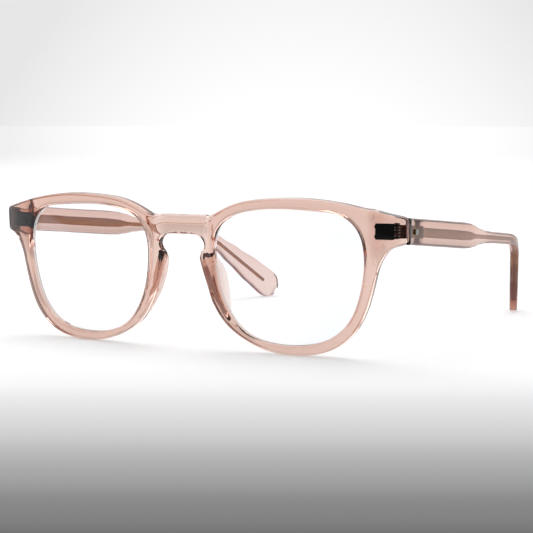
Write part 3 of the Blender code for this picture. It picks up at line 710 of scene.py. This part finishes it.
def make_lens(name, side, finish):
    """A plano lens with a bevelled edge that sits in the rim's groove."""
    opening = smooth_loop(LENS_OPENING, OUTLINE_STEP)
    out = outward_normals(opening)
    centre = opening.mean(axis=0)
    half = LENS_THICKNESS / 2
    rim = opening - out * LENS_GAP
    apex = opening + out * (GROOVE_DEPTH - LENS_GAP - 0.05)
    shares = [k / 24 for k in range(1, 25)]
    vertices = []

    def add_ring(points, depth):
        for u, v in points:
            vertices.append(wrapped(side * u, v, depth + sweep_only(u, v)))

    for share in shares:
        add_ring(centre + (rim - centre) * share, LENS_SEAT - half - LENS_BULGE * (1 - share ** 2))
    add_ring(rim, LENS_SEAT - GROOVE_HALF / 2)
    add_ring(apex, LENS_SEAT)
    add_ring(rim, LENS_SEAT + GROOVE_HALF / 2)
    for share in reversed(shares):
        add_ring(centre + (rim - centre) * share, LENS_SEAT + half - LENS_BULGE * (1 - share ** 2))
    count = len(opening)
    levels = len(vertices) // count
    faces = []
    for level in range(levels - 1):
        faces += ring_faces(level * count, (level + 1) * count, count)
    for ring, depth in ((0, LENS_SEAT - half), (levels - 1, LENS_SEAT + half)):
        hub = len(vertices)
        vertices.append(wrapped(side * centre[0], centre[1], depth - LENS_BULGE))
        faces += [(ring * count + i, ring * count + (i + 1) % count, hub) for i in range(count)]
    return new_piece(name, vertices, faces, finish)


# ---------------------------------------------------------------- hinges

def hinge_point(side, x, y, z=0.0):
    """A world point of a hinge, from its place on the wearer's left side."""
    return Vector((side * x, y - FRONT_SETBACK, HINGE_Z + z))


def hinge_block(side, name, low, high, radius, finish):
    """A rounded block of a hinge, from two corners on the wearer's left side."""
    a = hinge_point(side, *low)
    b = hinge_point(side, *high)
    return rounded_box(name, tuple(map(min, a, b)), tuple(map(max, a, b)), radius, finish)


def knuckle_levels():
    """The bottom heights of the five knuckles, relative to the hinge's middle."""
    pitch = KNUCKLE_HEIGHT + KNUCKLE_GAP
    total = 5 * KNUCKLE_HEIGHT + 4 * KNUCKLE_GAP
    return [i * pitch - total / 2 for i in range(5)]


def knuckles(side, levels, arm_low, arm_high, finish):
    """Barrels around the pin, each with the arm that carries it."""
    parts = []
    for bottom in levels:
        parts.append(hinge_block(side, "arm", (*arm_low, bottom - 0.05),
                                 (*arm_high, bottom + KNUCKLE_HEIGHT + 0.05), 0.08, finish))
        parts.append(turned("barrel", hinge_point(side, PIN_X, PIN_Y, bottom), (0, 0, 1),
                            barrel_profile(KNUCKLE_HEIGHT, KNUCKLE_RADIUS, 0.12), finish))
    return parts


def make_front_hinge(name, side, finish):
    """The front half: a sunk plate with three knuckles."""
    back = POCKET_Y + 0.04
    parts = [hinge_block(side, "plate", (PLATE_INNER_X, back - PLATE_THICKNESS, -PLATE_HEIGHT / 2),
                         (PLATE_OUTER_X, back, PLATE_HEIGHT / 2), 0.22, finish)]
    parts += knuckles(side, knuckle_levels()[0::2], (PIN_X - KNUCKLE_RADIUS, back - 0.3),
                      (PIN_X + 0.4, PIN_Y), finish)
    return joined(name, parts)


def make_temple_hinge(name, side, finish):
    """The temple half: two knuckles, and a leaf sunk into the temple."""
    start = temple_points(side)[0]
    leaf = rounded_box("leaf", (-LEAF_THICKNESS / 2, 0.3, -LEAF_HEIGHT / 2),
                       (LEAF_THICKNESS / 2, SLOT_LENGTH - 0.3, LEAF_HEIGHT / 2), 0.2, finish)
    set_across(leaf, side, start)
    parts = [leaf, hinge_block(side, "neck", (PIN_X + KNUCKLE_RADIUS + 0.12, JOINT_Y + 0.2, -1.95),
                               (TEMPLE_START[0] + 0.4, PIN_Y + 1.1, 1.95), 0.15, finish)]
    parts += knuckles(side, knuckle_levels()[1::2], (PIN_X, PIN_Y + 0.05),
                      (TEMPLE_START[0], PIN_Y + 0.9), finish)
    return joined(name, parts)


def make_screw(name, side, finish):
    """The hinge screw: a shank with a domed, slotted head."""
    low = knuckle_levels()[0] - 0.1
    high = knuckle_levels()[-1] + KNUCKLE_HEIGHT + 0.05
    top = high - low
    profile = [(0, 0.3), (0.12, SHANK_RADIUS), (top, SHANK_RADIUS), (top, HEAD_RADIUS - 0.06),
               (top + 0.08, HEAD_RADIUS), (top + 0.28, HEAD_RADIUS - 0.02),
               (top + 0.4, HEAD_RADIUS - 0.14), (top + HEAD_HEIGHT, 0.45)]
    screw = turned(name, hinge_point(side, PIN_X, PIN_Y, low), (0, 0, 1), profile, finish)
    slot = hinge_block(side, "slot", (PIN_X - SLOT_HALF, PIN_Y - 2, high + 0.27),
                       (PIN_X + SLOT_HALF, PIN_Y + 2, high + 2), 0.02, finish)
    merge(screw, [slot], "DIFFERENCE")
    return screw


def make_stud(name, side, level, finish):
    """One round anchor stud in front of the hinge plate."""
    inset = STUD_RADIUS + 0.35
    place = hinge_point(side, PLATE_INNER_X + inset, POCKET_Y - PLATE_THICKNESS - 0.3,
                        level * (PLATE_HEIGHT / 2 - inset))
    return turned(name, place, (0, -1, 0), barrel_profile(STUD_LENGTH, STUD_RADIUS, 0.15), finish)


# ---------------------------------------------------------------- temples

def temple_points(side):
    """Start, bend and tip of a temple's middle line, in world millimetres."""
    return [Vector((side * x, y - FRONT_SETBACK, z))
            for x, y, z in (TEMPLE_START, TEMPLE_BEND, TEMPLE_TIP)]


def temple_axis(side):
    """The direction of the straight part of a temple."""
    start, bend, _ = temple_points(side)
    return (bend - start).normalized()


def temple_sides(side, axis):
    """Unit vectors across a temple, outwards, and up."""
    across = Vector((axis.y, -axis.x, 0)).normalized() * side
    return across, (across.cross(axis) * side).normalized()


def set_across(piece, side, base):
    """Turns a piece from the axes (across, along, up) to a temple's own, at a base point."""
    axis = temple_axis(side)
    across, up = temple_sides(side, axis)
    turn = Matrix((across, axis, up)).transposed().to_4x4()
    piece.data.transform(Matrix.Translation(base * MM) @ turn)
    if side < 0:
        piece.data.flip_normals()


def temple_frame(side, distance):
    """Point and direction of the middle line at a distance from the front end."""
    start, bend, tip = temple_points(side)
    straight = (bend - start).length - BEND_LENGTH / 2
    first = (bend - start).normalized()
    second = (tip - bend).normalized()
    if distance <= straight:
        return start + first * distance, first
    t = min(1.0, (distance - straight) / BEND_LENGTH)
    a = bend - first * BEND_LENGTH / 2
    b = bend + second * BEND_LENGTH / 2
    point = a * (1 - t) ** 2 + bend * 2 * t * (1 - t) + b * t ** 2
    direction = ((bend - a) * (1 - t) + (b - bend) * t).normalized()
    return point + second * max(0.0, distance - straight - BEND_LENGTH), direction


def temple_section(side, distance, height, depth, corner, steps=6):
    """A rounded rectangle across the temple."""
    point, axis = temple_frame(side, distance)
    across, up = temple_sides(side, axis)
    ring = []
    for quarter, (x, z) in enumerate(((1, 1), (-1, 1), (-1, -1), (1, -1))):
        for i in range(steps + 1):
            angle = math.pi / 2 * (quarter + i / steps)
            ring.append(point + across * (x * (depth / 2 - corner) + corner * math.cos(angle))
                        + up * (z * (height / 2 - corner) + corner * math.sin(angle)))
    return ring


def temple_length(side):
    """The length of the middle line."""
    start, bend, tip = temple_points(side)
    return (bend - start).length + (tip - bend).length


def outer_section(side, distance):
    """The temple's outside at one distance, with a mitred start and a rounded tip."""
    length = temple_length(side)
    height = along_table(TEMPLE_HEIGHTS, distance)
    depth = along_table(TEMPLE_DEPTHS, distance)
    inner = MITRE * max(0.0, 1 - distance / MITRE_LENGTH)
    outer = OUTER_TAPER * (1 - ramp(distance, 0.0, 9.0))
    round_off = height / 2 + 0.2
    left = length - distance
    if left < round_off:
        height *= math.sqrt(max(0.02, 1 - (1 - left / round_off) ** 2))
    if left < 1.2:
        depth *= 0.35 + 0.65 * math.sqrt(1 - (1 - left / 1.2) ** 2)
    depth -= inner + outer
    ring = temple_section(side, distance, height, depth, min(0.95, height * 0.3, depth * 0.3))
    across, _ = temple_sides(side, temple_frame(side, distance)[1])
    return [point + across * ((inner - outer) / 2) for point in ring]


def make_temple(name, side, finish):
    """A temple of clear acetate, solid around its core."""
    length = temple_length(side)
    stations = [0, 0.5, 1.0, MITRE_LENGTH - 0.3, MITRE_LENGTH]
    stations += list(np.arange(MITRE_LENGTH + 1.0, length - 6.0, 1.5))
    stations += [length - 6.0 * math.cos(math.radians(a)) ** 1.6 for a in range(0, 90, 6)]
    stations += [length - 0.06, length]
    outside = [outer_section(side, d) for d in stations]
    axis = temple_axis(side)
    face_y = TEMPLE_START[1] - FRONT_SETBACK
    outside[0] = [point + axis * ((face_y - point.y) / axis.y) for point in outside[0]]
    return loft(name, outside, finish)


def make_core_wire(name, side, finish):
    """The core wire: a flat spade in front that tapers to a thin wire."""
    stations = [WIRE_START, WIRE_START + 0.15, WIRE_START + 0.5]
    stations += list(np.arange(WIRE_START + 1.5, WIRE_END - 1, 1.5)) + [WIRE_END - 0.4, WIRE_END]
    sections = []
    for d in stations:
        height = along_table(WIRE_HEIGHTS, d)
        depth = along_table(WIRE_DEPTHS, d)
        end = min(1.0, 0.6 + 0.4 * (d - WIRE_START) / 0.5, 0.5 + 0.5 * (WIRE_END - d) / 0.4)
        sections.append(temple_section(side, d, height * end, depth * end,
                                       0.45 * min(depth, height) * end))
    return loft(name, sections, finish)


def make_inlay(name, side, finish):
    """A small plain metal inlay in the temple's outer face."""
    axis = temple_axis(side)
    across, _ = temple_sides(side, axis)
    base = temple_points(side)[0] + across * (TEMPLE_THICKNESS / 2) + axis * INLAY_AT
    plate = rounded_box(name, (-0.2, -1.0, -0.8), (0.05, 1.0, 0.8), 0.1, finish)
    set_across(plate, side, base)
    return plate


# ---------------------------------------------------------------- studio

def sideways():
    """The horizontal direction to the camera's right."""
    return (math.cos(CAMERA_YAW), math.sin(CAMERA_YAW), 0.0)


def onwards():
    """The horizontal direction that the camera looks along."""
    return (-math.sin(CAMERA_YAW), math.cos(CAMERA_YAW), 0.0)


def floor_material():
    """The studio floor, with painted shade and a painted glow: white around the object, grey in front
    of it, darker at its sides far off, and fixed in the room.
    """
    finish, tree, shader, _ = principled("studio_floor")
    where = tree.nodes.new("ShaderNodeNewGeometry")
    near = Vector(CAMERA_AT).dot(Vector(onwards())) * MM
    ahead = dotted(tree, where.outputs["Position"], onwards())
    distance = ranged(tree, ahead,
                      (near + FLOOR_PAINTED_SHADE[0][0] * MM, near + FLOOR_PAINTED_SHADE[-1][0] * MM), (0, 1))
    # painted shade: the floor's brightness from this table, by the distance in front of the camera's
    # place
    painted_shade = tree.nodes.new("ShaderNodeValToRGB")
    painted_shade.color_ramp.interpolation = "CARDINAL"
    span = FLOOR_PAINTED_SHADE[-1][0] - FLOOR_PAINTED_SHADE[0][0]
    painted_shade.color_ramp.elements.remove(painted_shade.color_ramp.elements[1])
    for number, (at, value) in enumerate(FLOOR_PAINTED_SHADE):
        position = (at - FLOOR_PAINTED_SHADE[0][0]) / span
        if number == 0:
            stop = painted_shade.color_ramp.elements[0]
            stop.position = position
        else:
            stop = painted_shade.color_ramp.elements.new(position)
        stop.color = (value, value, value, 1)
    tree.links.new(distance, painted_shade.inputs["Fac"])
    # painted shade: the floor darkens towards its sides far off, like a vignette
    offset = combined(tree, "SUBTRACT", dotted(tree, where.outputs["Position"], sideways()),
                      Vector(CAMERA_AT).dot(Vector(sideways())) * MM)
    reach = combined(tree, "SUBTRACT", ahead, near)
    off_centre = combined(tree, "SUBTRACT", combined(tree, "DIVIDE", offset, reach), VIGNETTE_AT)
    corner = combined(tree, "MULTIPLY", combined(tree, "MULTIPLY", off_centre, off_centre),
                      ranged(tree, reach, FLOOR_CORNERS, (0.0, -VIGNETTE), True))
    tone = combined(tree, "ADD", combined(tree, "MAXIMUM", corner, CORNER_LEAST), 1.0)
    toned = tree.nodes.new("ShaderNodeMix")
    toned.data_type = "RGBA"
    toned.inputs["A"].default_value = (0, 0, 0, 1)
    tree.links.new(tone, toned.inputs["Factor"])
    tree.links.new(painted_shade.outputs["Color"], toned.inputs["B"])
    tree.links.new(toned.outputs["Result"], shader.inputs["Base Color"])
    # painted light: the floor glows in its own painted shade colour, more strongly far off
    tree.links.new(toned.outputs["Result"], shader.inputs["Emission Color"])
    shader.inputs["Roughness"].default_value = 0.6
    shader.inputs["Specular IOR Level"].default_value = 0.0
    glow = ranged(tree, ahead, (near + GLOW_FROM, near + GLOW_TO), FLOOR_GLOW, True)
    tree.links.new(glow, shader.inputs["Emission Strength"])
    return finish


def make_floor():
    """A wide flat floor that reaches the horizon."""
    corners = [(x * FLOOR_SIZE, y * FLOOR_SIZE, -0.02)
               for x, y in ((-1, -1), (1, -1), (1, 1), (-1, 1))]
    floor = new_piece("studio_floor", corners, [(0, 1, 2, 3)], floor_material())


def make_world():
    """A studio dome: white behind the object, dim on the camera's side, softly vignetted."""
    world = bpy.data.worlds.new("studio")
    bpy.context.scene.world = world
    world.use_nodes = True
    tree = world.node_tree
    where = tree.nodes.new("ShaderNodeTexCoord").outputs["Generated"]
    height = dotted(tree, where, (0, 0, 1))
    ahead = dotted(tree, where, onwards())
    aside = dotted(tree, where, sideways())
    dome = ranged(tree, ahead, DOME_EDGE, (DOME_NEAR, 1.0), True)
    zenith = ranged(tree, height, ZENITH_EDGE, (0, 1), True)
    dome = combined(tree, "MAXIMUM", dome, combined(tree, "MULTIPLY", zenith, DOME_TOP))
    fall = ranged(tree, height, BACKDROP_HEIGHTS, BACKDROP_FALL)
    off_centre = combined(tree, "SUBTRACT", aside, VIGNETTE_AT)
    vignette = combined(tree, "MULTIPLY", combined(tree, "MULTIPLY", off_centre, off_centre),
                        -VIGNETTE)
    backdrop = combined(tree, "ADD", fall, vignette)
    backdrop = combined(tree, "MAXIMUM", backdrop, BACKDROP_LEAST)
    behind = ranged(tree, ahead, BACKDROP_EDGE, (0, 1), True)
    mix = tree.nodes.new("ShaderNodeMix")
    tree.links.new(behind, mix.inputs["Factor"])
    tree.links.new(dome, mix.inputs["A"])
    tree.links.new(backdrop, mix.inputs["B"])
    background = tree.nodes["Background"]
    tree.links.new(mix.outputs["Result"], background.inputs["Strength"])
    background.inputs["Color"].default_value = (1.0, 1.0, 1.0, 1)


def make_light(name, place, target, size, power):
    """A square softbox aimed at a point."""
    data = bpy.data.lights.new(name, "AREA")
    data.shape = "RECTANGLE"
    data.size, data.size_y = size
    data.energy = power
    light = bpy.data.objects.new(name, data)
    light.location = place
    light.rotation_euler = (Vector(target) - Vector(place)).to_track_quat("-Z", "Y").to_euler()
    bpy.context.scene.collection.objects.link(light)


def make_camera():
    """The camera at the photograph's viewing angle."""
    forward = Vector((-math.sin(CAMERA_YAW) * math.cos(CAMERA_PITCH),
                      math.cos(CAMERA_YAW) * math.cos(CAMERA_PITCH), -math.sin(CAMERA_PITCH)))
    right = Vector((math.cos(CAMERA_YAW), math.sin(CAMERA_YAW), 0))
    up = right.cross(forward)
    rolled = right * math.cos(CAMERA_ROLL) + up * math.sin(CAMERA_ROLL)
    upright = -right * math.sin(CAMERA_ROLL) + up * math.cos(CAMERA_ROLL)
    data = bpy.data.cameras.new("camera")
    data.lens = CAMERA_LENS
    data.sensor_width = 36.0
    data.clip_start = 0.01
    camera = bpy.data.objects.new("camera", data)
    turn = Matrix((rolled, upright, -forward)).transposed().to_4x4()
    camera.matrix_world = Matrix.Translation(Vector(CAMERA_AT) * MM) @ turn
    bpy.context.scene.collection.objects.link(camera)
    bpy.context.scene.camera = camera


# ---------------------------------------------------------------- assembly

def place(piece, body, slot, *nodes):
    """Puts a piece on its body in place of its CAD nodes."""
    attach(piece, body)
    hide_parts(*nodes)


def main():
    """Builds the materials, the pieces and the studio."""
    scene = bpy.context.scene
    scene.view_settings.view_transform = "Standard"
    scene.cycles.max_bounces = 24
    scene.cycles.transmission_bounces = 24
    scene.cycles.glossy_bounces = 8
    make_camera()
    acetate = acetate_material("clear_acetate", ACETATE_COLOUR, ACETATE_DENSITY)
    glass = lens_material("coated_lens")
    dark, brass, steel = [metal_material(name, *METALS[name]) for name in METALS]
    pads = [make_nose_pad(f"pad_{word}", side, acetate)
            for side, word in ((1, "left"), (-1, "right"))]
    front = fused(make_front(acetate), pads)
    place(front, "frame_front", "acetate", "front", "nose_pad_left", "nose_pad_right")
    for side, word in ((1, "left"), (-1, "right")):
        arm = f"temple_{word}_arm"
        place(make_lens(f"coated_lens_{word}", side, glass), "frame_front", "lens", f"lens_{word}")
        place(make_front_hinge(f"front_hinge_{word}", side, dark), "frame_front", "dark_metal",
              f"hinge_front_{word}")
        for level, height in ((1, "upper"), (-1, "lower")):
            place(make_stud(f"stud_{height}_{word}", side, level, dark), "frame_front", "dark_metal",
                  f"hinge_stud_{height}_{word}")
        place(make_screw(f"screw_{word}", side, steel), "frame_front", "steel", f"hinge_screw_{word}")
        place(make_temple(f"acetate_temple_{word}", side, acetate), arm, "acetate", f"temple_{word}")
        place(make_temple_hinge(f"temple_hinge_{word}", side, brass), arm, "brass",
              f"hinge_temple_{word}")
        place(make_core_wire(f"spade_wire_{word}", side, brass), arm, "brass", f"core_wire_{word}")
        place(make_inlay(f"plain_inlay_{word}", side, steel), arm, "steel", f"temple_inlay_{word}")
    make_floor()
    make_world()
    for light in LIGHTS:
        make_light(*light)


main()
